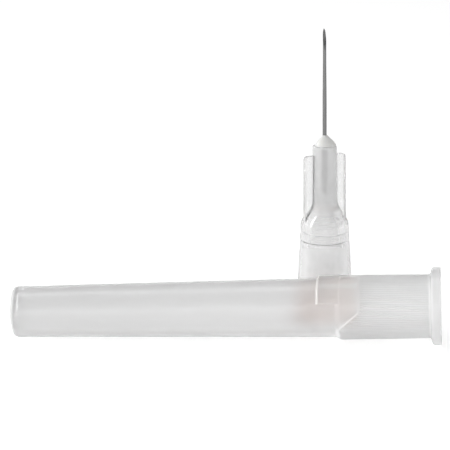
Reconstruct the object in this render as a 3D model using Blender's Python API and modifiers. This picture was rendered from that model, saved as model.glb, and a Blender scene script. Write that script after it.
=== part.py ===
"""A hypodermic needle standing on the open foot of its hub, with its pulled-off sheath lying in front of it.

Four real pieces: the steel cannula, the bead of adhesive that bonds it, the clear moulded hub with two
grip wings and two luer lugs, and the frosted moulded sheath. Metres, +Z up. The sheath lies along X with
its open mouth at +X, and the origin is under the middle of the whole group, on the surface it stands on.
"""

import math

import bmesh
import bpy
from mathutils import Matrix, Vector

MM = 0.001

# Hub, measured up from its open foot
HUB_LENGTH = 20.4 * MM
FOOT_RADIUS = 3.30 * MM
SKIRT_TOP_RADIUS = 2.65 * MM
SKIRT_TOP_BELOW_NOSE = 8.5 * MM
CORE_FOOT_RADIUS = 1.54 * MM
CORE_FOOT_BELOW_NOSE = 6.9 * MM
CORE_SWELL_LENGTH = 2.6 * MM
CORE_RADIUS = 1.42 * MM
NOSE_RADIUS = 1.37 * MM
EDGE_ROUND = 0.12 * MM
SHOULDER_ROUND = 0.36 * MM
HUB_TURN = math.radians(30.0)

# Grip wings on the hub's core
WING_HALF_SPAN_TOP = 2.50 * MM
WING_THICKNESS = 0.62 * MM
WING_BELOW_NOSE = 1.05 * MM
WING_CORNER_RADIUS = 0.42 * MM
WING_ROOT_DEPTH = 0.35 * MM

# Lugs at the hub's foot
LUG_SPAN = 7.80 * MM
LUG_WIDTH = 2.70 * MM
LUG_THICKNESS = 0.90 * MM
LUG_ROOT_SLOPE = 0.45 * MM

# Luer socket and passage inside the hub
SOCKET_MOUTH_RADIUS = 2.15 * MM
SOCKET_DEPTH = 9.5 * MM
SOCKET_TAPER = 0.06
SOCKET_LEAD_IN = 0.15 * MM
FIRST_RING_INSET = 0.16 * MM
FIRST_RING_LENGTH = 0.95 * MM
SECOND_RING_INSET = 0.34 * MM
SECOND_RING_LENGTH = 0.95 * MM
FUNNEL_LENGTH = 1.15 * MM
PASSAGE_RADIUS = 0.62 * MM
PASSAGE_LENGTH = 3.6 * MM
RING_STEP = 0.06 * MM

# Adhesive in the nose of the hub
WELL_RADIUS = 1.02 * MM
WELL_FLOOR_RADIUS = 0.90 * MM
WELL_DEPTH = 0.30 * MM
BOND_GAP = 0.03 * MM
BEAD_RADIUS = 1.21 * MM
BEAD_HEIGHT = 1.13 * MM
BEAD_COLLAR = 0.05 * MM
BEAD_SHOULDER = 1.45
BEAD_DRAW = 1.25
BEAD_SHIFT = 0.10 * MM
BEAD_DIRECTION = math.radians(-22.0)

# Cannula
CANNULA_RADIUS = 0.232 * MM
CANNULA_BORE_RADIUS = 0.130 * MM
CANNULA_TIP_SCALE = 0.82
EXPOSED_LENGTH = 13.0 * MM
STRAIGHT_ABOVE_NOSE = 4.0 * MM
INNER_OVERHANG = 1.1 * MM
BEVEL_LENGTH = 2.45 * MM
LANCET_LENGTH = 0.95 * MM
LANCET_TURN = math.radians(38.0)
POINT_STEP = 0.004 * MM
BEVEL_DIRECTION = math.radians(-97.0)

# Sheath, measured from its mouth
SHEATH_LENGTH = 47.0 * MM
CLOSED_END_RADIUS = 2.80 * MM
CLOSED_END_ROUND = 0.50 * MM
CLOSED_END_WALL = 0.62 * MM
TUBE_RADIUS = 3.23 * MM
TUBE_WALL = 0.44 * MM
COLLAR_AT = 13.4 * MM
COLLAR_SLOPE = 0.18 * MM
COLLAR_TURN = math.radians(20.7)
GRIP_AT = 11.0 * MM
GRIP_SLOPE = 0.38 * MM
GRIP_RADIUS = 3.50 * MM
GRIP_MOUTH_RADIUS = 3.43 * MM
RIB_COUNT = 88
RIB_HEIGHT = 0.060 * MM
RIB_WIDTH = 0.13 * MM
RIB_START = 9.8 * MM
RIB_ROOT = 0.12 * MM
FLANGE_RADIUS = 4.225 * MM
FLANGE_THICKNESS = 0.95 * MM
FLANGE_BACK_SLOPE = 0.22 * MM
FLANGE_FILLET = 0.30 * MM
GRIP_HEIGHT_ON_HUB = 3.2 * MM
CAP_CLEARANCE = 0.02 * MM
GRIP_BORE_DRAFT = 0.06 * MM
BORE_STEP_ONE = 0.22 * MM
BORE_STEP_TWO = 0.09 * MM
MOUTH_LEAD_IN = 0.16 * MM
BORE_END_ROUND = 0.35 * MM

# How the group lies
SHEATH_TO_HUB = 7.45 * MM
HUB_FROM_MOUTH = 13.1 * MM

# Faceting
HUB_STEPS = 60
SHEATH_STEPS = 88
CANNULA_STEPS = 24
BEAD_STEPS = 36
BEAD_RINGS = 8
ARC_POINTS = 4
SPARE = 1.0 * MM

# Sizes that follow from the ones above
NOSE = HUB_LENGTH
SKIRT_TOP = NOSE - SKIRT_TOP_BELOW_NOSE
CORE_FOOT = NOSE - CORE_FOOT_BELOW_NOSE
WING_TOP = NOSE - WING_BELOW_NOSE
SOCKET_END = SOCKET_DEPTH
FIRST_RING_END = SOCKET_END + FIRST_RING_LENGTH
SECOND_RING_END = FIRST_RING_END + SECOND_RING_LENGTH
PASSAGE_START = SECOND_RING_END + FUNNEL_LENGTH
PASSAGE_END = PASSAGE_START + PASSAGE_LENGTH
CANNULA_START = PASSAGE_END - INNER_OVERHANG
TIP = NOSE + EXPOSED_LENGTH
TIP_RADIUS = CANNULA_RADIUS * CANNULA_TIP_SCALE


def clear_scene():
    """Remove whatever the scene held."""
    for old in list(bpy.data.objects):
        bpy.data.objects.remove(old, do_unlink=True)


def new_collection(name):
    """Make a collection and link it to the scene."""
    made = bpy.data.collections.new(name)
    bpy.context.scene.collection.children.link(made)
    return made


def material(name, colour, roughness, metallic=0.0, alpha=1.0):
    """Make a Principled material with one plain finish."""
    made = bpy.data.materials.new(name)
    made.use_nodes = True
    shader = made.node_tree.nodes["Principled BSDF"]
    shader.inputs["Base Color"].default_value = (*colour, 1.0)
    shader.inputs["Roughness"].default_value = roughness
    shader.inputs["Metallic"].default_value = metallic
    shader.inputs["Alpha"].default_value = alpha
    made.diffuse_color = (*colour, alpha)
    return made


def rounded(start, corner, end, count=ARC_POINTS):
    """Points of a smooth turn from start to end that is drawn towards corner."""
    points = []
    for index in range(count + 1):
        t = index / count
        weights = ((1 - t) ** 2, 2 * t * (1 - t), t**2)
        points.append(tuple(sum(w * p[k] for w, p in zip(weights, (start, corner, end))) for k in (0, 1)))
    return points


def fillet(before, corner, after, radius):
    """Replace a profile corner with a smooth turn that starts and ends a radius away from it."""
    corner_point = Vector(corner)
    start = corner_point + (Vector(before) - corner_point).normalized() * radius
    end = corner_point + (Vector(after) - corner_point).normalized() * radius
    return rounded(tuple(start), corner, tuple(end))


def link(name, mesh, collection):
    """Make an object from a mesh in a collection."""
    made = bpy.data.objects.new(name, mesh)
    collection.objects.link(made)
    return made


def as_cutter(piece):
    """Mark an object as a helper that only shapes others."""
    piece.hide_render = True
    piece.display_type = "WIRE"
    return piece


def turned(name, profile, steps, collection, closed=False):
    """Revolve a profile of (radius, height) points about Z with a Screw modifier."""
    mesh = bpy.data.meshes.new(name)
    points = [(radius, 0.0, height) for radius, height in profile]
    edges = [(index, index + 1) for index in range(len(points) - 1)]
    if closed:
        edges.append((len(points) - 1, 0))
    mesh.from_pydata(points, edges, [])
    piece = link(name, mesh, collection)
    screw = piece.modifiers.new("turn", "SCREW")
    screw.axis = "Z"
    screw.steps = steps
    screw.render_steps = steps
    screw.use_merge_vertices = True
    screw.merge_threshold = 1e-6
    screw.use_smooth_shade = True
    return piece


def box(name, size, collection):
    """Make a box of the given size round its own origin."""
    mesh = bpy.data.meshes.new(name)
    shape = bmesh.new()
    bmesh.ops.create_cube(shape, size=1.0)
    bmesh.ops.scale(shape, vec=Vector(size), verts=shape.verts)
    shape.to_mesh(mesh)
    shape.free()
    return link(name, mesh, collection)


def plate(name, outline, thickness, collection):
    """Extrude an outline of (x, z) points into a plate that is centred on Y."""
    mesh = bpy.data.meshes.new(name)
    shape = bmesh.new()
    corners = [shape.verts.new((x, -thickness / 2, z)) for x, z in outline]
    face = shape.faces.new(corners)
    swept = bmesh.ops.extrude_face_region(shape, geom=[face])
    moved = [item for item in swept["geom"] if isinstance(item, bmesh.types.BMVert)]
    bmesh.ops.translate(shape, vec=(0.0, thickness, 0.0), verts=moved)
    bmesh.ops.recalc_face_normals(shape, faces=shape.faces)
    shape.to_mesh(mesh)
    shape.free()
    return link(name, mesh, collection)


def turn_half_facet(piece, body_steps):
    """Turn a round helper by half a facet of the body, so that its edges cross the middle of those facets."""
    piece.rotation_euler = (0.0, 0.0, math.pi / body_steps)
    return piece


def boolean(piece, other, operation):
    """Join another object to a piece, or cut it away."""
    step = piece.modifiers.new(operation.lower() + "_" + other.name, "BOOLEAN")
    step.operation = operation
    step.solver = "EXACT"
    step.object = other
    return step


def finish(piece, look, parent=None, sharp=32.0):
    """Give a piece its material, smooth shading with sharp edges, and its parent."""
    mesh = piece.data
    mesh.materials.append(look)
    if mesh.polygons:
        mesh.shade_smooth()
        mesh.set_sharp_from_angle(angle=math.radians(sharp))
    if parent is not None:
        piece.parent = parent
    return piece


def skirt_radius(height):
    """Outer radius of the hub's tapered skirt at a height above its foot."""
    return FOOT_RADIUS + (SKIRT_TOP_RADIUS - FOOT_RADIUS) * height / SKIRT_TOP


def socket_radius(height):
    """Radius of the six per cent luer taper at a height above the hub's foot."""
    return SOCKET_MOUTH_RADIUS - SOCKET_TAPER / 2 * height


def well_radius(height):
    """Radius of the flared glue well in the nose at a height above the hub's foot."""
    return WELL_RADIUS + (WELL_RADIUS - WELL_FLOOR_RADIUS) * (height - NOSE) / WELL_DEPTH


def cannula_scale(height):
    """Share of the full diameter that the cannula has at a height above the hub's foot."""
    start = NOSE + STRAIGHT_ABOVE_NOSE
    end = TIP - BEVEL_LENGTH
    share = min(max((height - start) / (end - start), 0.0), 1.0)
    return 1 + (CANNULA_TIP_SCALE - 1) * share


def hub_outer_profile():
    """Outside of the hub, from the middle of its nose down to the middle of its foot."""
    swell = CORE_FOOT + CORE_SWELL_LENGTH
    nose_edge = (NOSE_RADIUS, NOSE)
    core_foot = (CORE_FOOT_RADIUS, CORE_FOOT)
    shoulder = (SKIRT_TOP_RADIUS, SKIRT_TOP)
    foot_edge = (FOOT_RADIUS, 0.0)
    return [
        (0.0, NOSE),
        *fillet((0.0, NOSE), nose_edge, (CORE_RADIUS, swell), EDGE_ROUND),
        *rounded((CORE_RADIUS, swell), (CORE_RADIUS, CORE_FOOT + EDGE_ROUND), core_foot),
        *fillet(core_foot, shoulder, foot_edge, SHOULDER_ROUND),
        *fillet(shoulder, foot_edge, (0.0, 0.0), EDGE_ROUND),
        (0.0, 0.0),
    ]


def hub_inner_profile():
    """Passage through the hub: cannula bore, passage, funnel, two rings and the luer socket."""
    cannula_hole = CANNULA_RADIUS + BOND_GAP
    socket_end_radius = socket_radius(SOCKET_END)
    first = socket_end_radius - FIRST_RING_INSET
    second = socket_end_radius - SECOND_RING_INSET
    return [
        (0.0, NOSE + SPARE),
        (well_radius(NOSE + SPARE), NOSE + SPARE),
        (WELL_FLOOR_RADIUS, NOSE - WELL_DEPTH),
        (cannula_hole, NOSE - WELL_DEPTH),
        (cannula_hole, PASSAGE_END + RING_STEP),
        (PASSAGE_RADIUS, PASSAGE_END),
        (PASSAGE_RADIUS, PASSAGE_START),
        (second, SECOND_RING_END),
        (second, FIRST_RING_END + RING_STEP),
        (first, FIRST_RING_END),
        (first, SOCKET_END + RING_STEP),
        (socket_end_radius, SOCKET_END),
        (socket_radius(SOCKET_LEAD_IN), SOCKET_LEAD_IN),
        (socket_radius(SOCKET_LEAD_IN) + SOCKET_LEAD_IN + SPARE, -SPARE),
        (0.0, -SPARE),
    ]


def wing_outline(side):
    """Outline of one grip wing: a blade from inside the core to the skirt's shoulder, one corner rounded."""
    root = NOSE_RADIUS - WING_ROOT_DEPTH
    low = SKIRT_TOP - EDGE_ROUND
    outer_foot = skirt_radius(low) - EDGE_ROUND
    top_corner = (WING_HALF_SPAN_TOP, WING_TOP)
    points = [(root, WING_TOP)]
    points += fillet((root, WING_TOP), top_corner, (outer_foot, low), WING_CORNER_RADIUS)
    points += [(outer_foot, low), (root, low)]
    return [(side * x, z) for x, z in points]


def lug_outline(side):
    """Section of one luer lug: flat on the foot's plane, its upper face sloping down outwards."""
    root = socket_radius(0.0) + SOCKET_LEAD_IN + EDGE_ROUND
    reach = LUG_SPAN / 2
    outline = [
        (root, 0.0),
        *fillet((root, 0.0), (reach, 0.0), (reach, LUG_THICKNESS), EDGE_ROUND),
        *fillet((reach, 0.0), (reach, LUG_THICKNESS), (root, LUG_THICKNESS + LUG_ROOT_SLOPE), EDGE_ROUND),
        (root, LUG_THICKNESS + LUG_ROOT_SLOPE),
    ]
    return [(side * x, z) for x, z in outline]


def build_hub(parts, cutters, look, stand):
    """Moulded hub: turned body, two wings and two lugs joined to it, and the passage cut through."""
    hub = turned("hub", hub_outer_profile(), HUB_STEPS, parts)
    for side, label in ((1, "right"), (-1, "left")):
        wing = plate("wing_" + label, wing_outline(side), WING_THICKNESS, cutters)
        boolean(hub, as_cutter(wing), "UNION")
        wing.parent = stand
        lug = plate("lug_" + label, lug_outline(side), LUG_WIDTH, cutters)
        boolean(hub, as_cutter(lug), "UNION")
        lug.parent = stand
    passage = turned("hub_passage", hub_inner_profile(), HUB_STEPS, cutters)
    passage.parent = stand
    turn_half_facet(passage, HUB_STEPS)
    boolean(hub, as_cutter(passage), "DIFFERENCE")
    return finish(hub, look, stand)


def cannula_profile():
    """Wall of the cannula as a closed ring of points: down the outside, up the bore."""
    breaks = [TIP + POINT_STEP, TIP - BEVEL_LENGTH, NOSE + STRAIGHT_ABOVE_NOSE, CANNULA_START]
    outside = [(CANNULA_RADIUS * cannula_scale(z), z) for z in breaks]
    bore = [(CANNULA_BORE_RADIUS * cannula_scale(z), z) for z in reversed(breaks)]
    return outside + bore


def grinding_block(name, length, turn, collection):
    """Block whose face is a ground facet that runs from the point down the given length."""
    size = 4 * length
    lean = math.atan2(2 * TIP_RADIUS, length)
    face_normal = Vector((math.cos(lean), 0.0, math.sin(lean)))
    face_normal.rotate(Matrix.Rotation(turn, 3, "Z"))
    point = Vector((-TIP_RADIUS + POINT_STEP, 0.0, TIP))
    block = box(name, (size, size, size), collection)
    block.rotation_euler = (0.0, -lean, turn)
    block.location = point + face_normal * (size / 2)
    return as_cutter(block)


def build_cannula(parts, cutters, look, stand):
    """Steel tube with a long primary bevel and two lancet facets ground beside its point."""
    cannula = turned("cannula", cannula_profile(), CANNULA_STEPS, parts, closed=True)
    grinds = (
        ("bevel_grind", BEVEL_LENGTH, 0.0),
        ("lancet_grind_left", LANCET_LENGTH, LANCET_TURN),
        ("lancet_grind_right", LANCET_LENGTH, -LANCET_TURN),
    )
    needle_turn = bpy.data.objects.new("bevel_direction", None)
    parts.objects.link(needle_turn)
    needle_turn.parent = stand
    needle_turn.rotation_euler = (0.0, 0.0, BEVEL_DIRECTION)
    for name, length, turn in grinds:
        block = grinding_block(name, length, turn, cutters)
        block.parent = needle_turn
        boolean(cannula, block, "DIFFERENCE")
    return finish(cannula, look, needle_turn)


def bead_radius(share):
    """Radius of the adhesive bead at a share of its height: upright at the rim, drawn in to the cannula."""
    top = CANNULA_RADIUS + BOND_GAP + BEAD_COLLAR
    swell = (1 - share**BEAD_SHOULDER) ** BEAD_DRAW
    return top + (BEAD_RADIUS - top) * swell


def bead_shift(share):
    """Sideways offset of the bead's middle, which sagged to one side before it set."""
    return BEAD_SHIFT * (1 - share**2)


def build_adhesive(parts, cutters, look, stand):
    """Bead of adhesive: a sagged dome on the nose's rim with a plug that fills the well below it."""
    base = NOSE + BOND_GAP
    dome = [(0.0, base + BEAD_HEIGHT)]
    for index in range(BEAD_RINGS + 1):
        share = 1 - index / BEAD_RINGS
        dome.append((bead_radius(share), base + BEAD_HEIGHT * share))
    dome.append((0.0, base))
    raw = turned("adhesive_turned", dome, BEAD_STEPS, cutters)
    bpy.context.view_layer.update()
    graph = bpy.context.evaluated_depsgraph_get()
    mesh = bpy.data.meshes.new_from_object(raw.evaluated_get(graph))
    bpy.data.objects.remove(raw, do_unlink=True)
    for vertex in mesh.vertices:
        share = (vertex.co.z - base) / BEAD_HEIGHT
        vertex.co.x += bead_shift(min(max(share, 0.0), 1.0))
    mesh.name = "adhesive"
    adhesive = link("adhesive", mesh, parts)
    adhesive.rotation_euler = (0.0, 0.0, BEAD_DIRECTION)

    plug_top = base + BOND_GAP
    plug_floor = NOSE - WELL_DEPTH + BOND_GAP
    plug = [
        (0.0, plug_top),
        (well_radius(NOSE) - BOND_GAP, plug_top),
        (well_radius(NOSE) - BOND_GAP, NOSE),
        (well_radius(plug_floor) - BOND_GAP, plug_floor),
        (0.0, plug_floor),
    ]
    hole = [
        (0.0, base + BEAD_HEIGHT + SPARE),
        (CANNULA_RADIUS + BOND_GAP, base + BEAD_HEIGHT + SPARE),
        (CANNULA_RADIUS + BOND_GAP, NOSE - WELL_DEPTH - SPARE),
        (0.0, NOSE - WELL_DEPTH - SPARE),
    ]
    plug_piece = turned("adhesive_plug", plug, BEAD_STEPS, cutters)
    hole_piece = turned("adhesive_hole", hole, CANNULA_STEPS, cutters)
    for helper in (plug_piece, hole_piece):
        helper.parent = stand
        as_cutter(helper)
    boolean(adhesive, plug_piece, "UNION")
    boolean(adhesive, hole_piece, "DIFFERENCE")
    return finish(adhesive, look, stand)


def tube_radius(along):
    """Outer radius of the sheath's slim tube at a distance from the mouth."""
    share = (along - COLLAR_AT) / (SHEATH_LENGTH - COLLAR_AT)
    return TUBE_RADIUS + (CLOSED_END_RADIUS - TUBE_RADIUS) * share


def grip_radius(along):
    """Outer radius of the sheath's wide grip, between its ribs, at a distance from the mouth."""
    share = (along - FLANGE_THICKNESS) / (COLLAR_AT - FLANGE_THICKNESS)
    return GRIP_MOUTH_RADIUS + (GRIP_RADIUS - GRIP_MOUTH_RADIUS) * share


def sheath_outer_profile():
    """Outside of the sheath, from the closed end to the mouth. The height axis runs from mouth to end."""
    end_edge = (CLOSED_END_RADIUS, SHEATH_LENGTH)
    tube_start = (tube_radius(GRIP_AT + GRIP_SLOPE), GRIP_AT + GRIP_SLOPE)
    grip_end = (grip_radius(GRIP_AT), GRIP_AT)
    flange_foot = (grip_radius(FLANGE_THICKNESS), FLANGE_THICKNESS + FLANGE_BACK_SLOPE)
    flange_back = (FLANGE_RADIUS, FLANGE_THICKNESS)
    flange_front = (FLANGE_RADIUS, 0.0)
    return [
        (0.0, SHEATH_LENGTH),
        *fillet((0.0, SHEATH_LENGTH), end_edge, tube_start, CLOSED_END_ROUND),
        tube_start,
        *fillet(tube_start, grip_end, flange_foot, EDGE_ROUND),
        *fillet(grip_end, flange_foot, flange_back, FLANGE_FILLET),
        *fillet(flange_foot, flange_back, flange_front, 2 * EDGE_ROUND),
        *fillet(flange_back, flange_front, (0.0, 0.0), EDGE_ROUND),
        (0.0, 0.0),
    ]


def sheath_bore_profile():
    """Inside of the sheath: the socket that grips the hub, two steps, and the long slim bore."""
    mouth = skirt_radius(GRIP_HEIGHT_ON_HUB) + CAP_CLEARANCE
    socket_end = mouth - GRIP_BORE_DRAFT
    second_start = socket_end - BORE_STEP_ONE
    slim_start = tube_radius(COLLAR_AT) - TUBE_WALL
    slim_end = tube_radius(SHEATH_LENGTH) - TUBE_WALL
    bore_end = SHEATH_LENGTH - CLOSED_END_WALL
    end_edge = (slim_end, bore_end)
    return [
        (0.0, bore_end),
        *fillet((0.0, bore_end), end_edge, (slim_start, COLLAR_AT), BORE_END_ROUND),
        (slim_start, COLLAR_AT + COLLAR_SLOPE),
        (slim_start + BORE_STEP_TWO, COLLAR_AT),
        (second_start, GRIP_AT + GRIP_SLOPE / 2),
        (socket_end, GRIP_AT - GRIP_SLOPE / 2),
        (mouth, MOUTH_LEAD_IN),
        (mouth + MOUTH_LEAD_IN + SPARE, -SPARE),
        (0.0, -SPARE),
    ]


def half_collar(cutters, rest):
    """Raised half ring between the grip and the slim tube, on the sheath's upper side only."""
    inner = TUBE_RADIUS - TUBE_WALL / 2
    ring = [
        (grip_radius(COLLAR_AT - COLLAR_SLOPE), COLLAR_AT - COLLAR_SLOPE),
        (grip_radius(GRIP_AT - GRIP_SLOPE), GRIP_AT - GRIP_SLOPE),
        (inner, GRIP_AT - GRIP_SLOPE),
        (inner, COLLAR_AT),
        (tube_radius(COLLAR_AT) + COLLAR_SLOPE / 4, COLLAR_AT),
    ]
    collar = turned("half_collar", ring, SHEATH_STEPS, cutters, closed=True)
    turn_half_facet(collar, SHEATH_STEPS)
    size = 4 * TUBE_RADIUS
    lower_half = box("collar_trim", (size, size, size), cutters)
    lower_half.rotation_euler = (0.0, 0.0, COLLAR_TURN)
    lower_half.location = (-size / 2 * math.cos(COLLAR_TURN), -size / 2 * math.sin(COLLAR_TURN), COLLAR_AT)
    lower_half.parent = rest
    boolean(collar, as_cutter(lower_half), "DIFFERENCE")
    collar.parent = rest
    return as_cutter(collar)


def grip_ribs(cutters, rest):
    """Fine ribs along the grip: one tapered bar, repeated round the axis."""
    mesh = bpy.data.meshes.new("grip_ribs")
    shape = bmesh.new()
    start = FLANGE_THICKNESS + FLANGE_BACK_SLOPE / 2
    length = RIB_START - start
    for index in range(RIB_COUNT):
        turn = Matrix.Rotation(2 * math.pi * (index + 0.5) / RIB_COUNT, 4, "Z")
        bar = bmesh.ops.create_cube(shape, size=1.0)["verts"]
        for vertex in bar:
            along = start + (vertex.co.z + 0.5) * length
            outward = vertex.co.x > 0
            crest = grip_radius(along) + RIB_HEIGHT
            root = grip_radius(along) - RIB_ROOT
            run_out = RIB_HEIGHT if outward and vertex.co.z > 0 else 0.0
            side = vertex.co.y * RIB_WIDTH
            vertex.co = turn @ Vector((crest if outward else root, side, along - run_out))
    bmesh.ops.recalc_face_normals(shape, faces=shape.faces)
    shape.to_mesh(mesh)
    shape.free()
    ribs = link("grip_ribs", mesh, cutters)
    ribs.parent = rest
    return as_cutter(ribs)


def build_sheath(parts, cutters, look, rest):
    """Moulded sheath: turned outside with a flange and half collar, its bore cut out, and ribs joined on."""
    sheath = turned("sheath", sheath_outer_profile(), SHEATH_STEPS, parts)
    bore = turned("sheath_bore", sheath_bore_profile(), SHEATH_STEPS // 2, cutters)
    bore.parent = rest
    turn_half_facet(bore, SHEATH_STEPS)
    boolean(sheath, half_collar(cutters, rest), "UNION")
    boolean(sheath, as_cutter(bore), "DIFFERENCE")
    boolean(sheath, grip_ribs(cutters, rest), "UNION")
    return finish(sheath, look, rest)


def resting_tilt():
    """Angle at which the sheath lies, on the back edge of its flange and the round of its closed end."""
    round_along = SHEATH_LENGTH - CLOSED_END_ROUND
    run = round_along - FLANGE_THICKNESS
    rise = FLANGE_RADIUS - tube_radius(round_along)
    return math.atan2(rise, run)


def lowest_point(tilt):
    """Depth of the sheath's lowest point below the middle of its mouth, once it is tilted."""
    return max(along * math.sin(tilt) + radius * math.cos(tilt) for radius, along in sheath_outer_profile())


def sheath_reach(tilt):
    """How far the tilted sheath reaches before and behind the middle of its mouth, along X."""
    profile = sheath_outer_profile()
    front = max(radius * math.sin(tilt) - along * math.cos(tilt) for radius, along in profile)
    back = max(radius * math.sin(tilt) + along * math.cos(tilt) for radius, along in profile)
    return front, back


def empty_at(name, location, rotation, collection):
    """Make an empty that carries pieces."""
    carrier = bpy.data.objects.new(name, None)
    collection.objects.link(carrier)
    carrier.location = location
    carrier.rotation_euler = rotation
    return carrier


def build():
    """Make the whole group and place it round the origin."""
    clear_scene()
    parts = new_collection("hypodermic_needle")
    cutters = new_collection("cutters")
    cutters.hide_render = True

    tilt = resting_tilt()
    front, back = sheath_reach(tilt)
    mouth_x = (back - front) / 2
    depth_middle = (SHEATH_TO_HUB + FOOT_RADIUS - FLANGE_RADIUS) / 2
    sheath_place = (mouth_x, -depth_middle, lowest_point(tilt))
    hub_place = (mouth_x - HUB_FROM_MOUTH, SHEATH_TO_HUB - depth_middle, 0.0)
    rest = empty_at("sheath_rest", sheath_place, (0.0, -math.pi / 2 - tilt, 0.0), parts)
    stand = empty_at("hub_stand", hub_place, (0.0, 0.0, HUB_TURN), parts)

    steel = material("cannula_steel", (0.56, 0.56, 0.57), 0.28, metallic=1.0)
    white = material("adhesive_white", (0.92, 0.92, 0.90), 0.45)
    clear = material("hub_clear", (0.80, 0.80, 0.80), 0.22, alpha=0.55)
    frosted = material("sheath_frosted", (0.84, 0.84, 0.84), 0.40, alpha=0.65)

    build_hub(parts, cutters, clear, stand)
    build_cannula(parts, cutters, steel, stand)
    build_adhesive(parts, cutters, white, stand)
    build_sheath(parts, cutters, frosted, rest)


build()
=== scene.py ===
# %% [markdown]
# # A hypodermic needle and its sheath
#
# This script dresses a small medical part: a steel needle bonded into a clear moulded hub, and the frosted
# sheath that was pulled off it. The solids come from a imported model, which we call the frame. They are exact
# but faceted, so each one is replaced here by a fine surface of the same size in the same place.
#
# Everything is in metres, with +Z up. Sizes are written in millimetres and multiplied by `MM`.

import bpy
import numpy as np
from mathutils import Matrix, Vector


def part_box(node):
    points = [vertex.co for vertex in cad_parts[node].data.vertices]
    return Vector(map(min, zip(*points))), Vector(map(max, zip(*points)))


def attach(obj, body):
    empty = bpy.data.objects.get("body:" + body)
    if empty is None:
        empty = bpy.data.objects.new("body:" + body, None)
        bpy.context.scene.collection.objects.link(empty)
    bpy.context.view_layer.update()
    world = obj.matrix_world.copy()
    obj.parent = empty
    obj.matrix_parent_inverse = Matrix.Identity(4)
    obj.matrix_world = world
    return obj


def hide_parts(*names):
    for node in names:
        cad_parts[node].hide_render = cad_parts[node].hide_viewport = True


MM = 0.001

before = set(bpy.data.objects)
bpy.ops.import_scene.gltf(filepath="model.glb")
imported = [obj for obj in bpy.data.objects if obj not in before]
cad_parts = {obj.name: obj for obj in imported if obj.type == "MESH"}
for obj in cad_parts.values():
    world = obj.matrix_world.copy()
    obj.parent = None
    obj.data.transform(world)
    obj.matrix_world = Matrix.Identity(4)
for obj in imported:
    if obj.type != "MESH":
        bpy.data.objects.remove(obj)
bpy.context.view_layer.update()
print("frame pieces:", ", ".join(sorted(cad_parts)))

# %% [markdown]
# ## One way to make every surface
#
# All four pieces are round things with something added: a bevel, a lean, two wings, a row of ribs. A round
# thing is a stack of rings. If each ring has the same number of points, the whole surface is one grid with
# `rings[i, j]` as ring `i`, column `j`, and numpy can work out all of it at once. We could have used the
# Screw modifier and Booleans, but a grid lets the radius depend on both the height and the angle.
#
# A pole is the single point that closes the first or last ring. Where a piece is a tube, the last ring joins
# the first one instead, so the surface has no loose edge anywhere.

# %% Grid to mesh
SHARP_ANGLE = np.radians(38.0)


def enclosed_volume(points, triangles):
    """Sum of a . (b x c) / 6 over the triangles a, b, c: positive when they all face outwards."""
    a, b, c = (points[triangles[:, k]] for k in range(3))
    return np.einsum("ij,ij->i", a, np.cross(b, c)).sum() / 6


def grid_piece(name, rings, poles=None):
    """Skin a grid of rings. Each quad joins (i, j), (i+1, j), (i+1, j+1), (i, j+1), and columns wrap round.

    With poles, one point closes each end by a fan of triangles. Without, the last ring joins the first.
    """
    ring_count, column_count = rings.shape[:2]
    points = rings.reshape(-1, 3)
    here = np.arange(column_count)
    beside = (here + 1) % column_count
    upper = np.arange(ring_count - 1 if poles else ring_count)[:, None] * column_count
    lower = (upper + column_count) % (ring_count * column_count)
    quads = np.stack([upper + here, lower + here, lower + beside, upper + beside], axis=-1).reshape(-1, 4)
    fans = np.empty((0, 3), int)
    if poles:
        first, last = len(points), len(points) + 1
        end = (ring_count - 1) * column_count
        points = np.vstack([points, *poles])
        opening_fan = np.column_stack([np.full(column_count, first), here, beside])
        closing_fan = np.column_stack([end + here, np.full(column_count, last), end + beside])
        fans = np.vstack([opening_fan, closing_fan])
    mesh = bpy.data.meshes.new(name)
    mesh.from_pydata(points, [], quads.tolist() + fans.tolist())
    mesh.shade_smooth()
    mesh.set_sharp_from_angle(angle=SHARP_ANGLE)
    piece = bpy.data.objects.new(name, mesh)
    bpy.context.scene.collection.objects.link(piece)
    triangles = np.vstack([quads[:, [0, 1, 2]], quads[:, [0, 2, 3]], fans])
    volume = enclosed_volume(points, triangles) / MM**3
    print(f"{name}: {len(triangles)} triangles round {volume:.2f} cubic mm")
    return piece


def store_pattern(piece, name, values):
    """Keep one number for each point of the grid on the mesh, for the finish to read. Poles get the mean."""
    numbers = np.full(len(piece.data.vertices), values.mean(), np.float32)
    numbers[: values.size] = values.ravel()
    layer = piece.data.attributes.new(name, "FLOAT", "POINT")
    layer.data.foreach_set("value", numbers)


def store_tint(piece, name, tints):
    """Keep one colour for each point of the grid on the mesh. Tints are rings by columns by 3."""
    flat = tints.reshape(-1, 3)
    colours = np.ones((len(piece.data.vertices), 4), np.float32)
    colours[:, :3] = flat.mean(axis=0)
    colours[: len(flat), :3] = flat
    layer = piece.data.attributes.new(name, "FLOAT_COLOR", "POINT")
    layer.data.foreach_set("color", colours.ravel())


# %% [markdown]
# ## Profiles with soft corners
#
# Moulded plastic has no knife edges, and a sharp edge on screen gives itself away because it never catches
# the light. So a profile is a list of corners plus, for each one, how far away from it the bend begins. The
# bend is a quadratic Bezier curve, which is the cheapest smooth turn there is. `stations` then adds points on
# the long straight runs, because a ring is needed wherever the radius should change with the angle.

# %% Profile helpers
BEND_STEPS = 6
SAME_POINT = 1e-9


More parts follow.
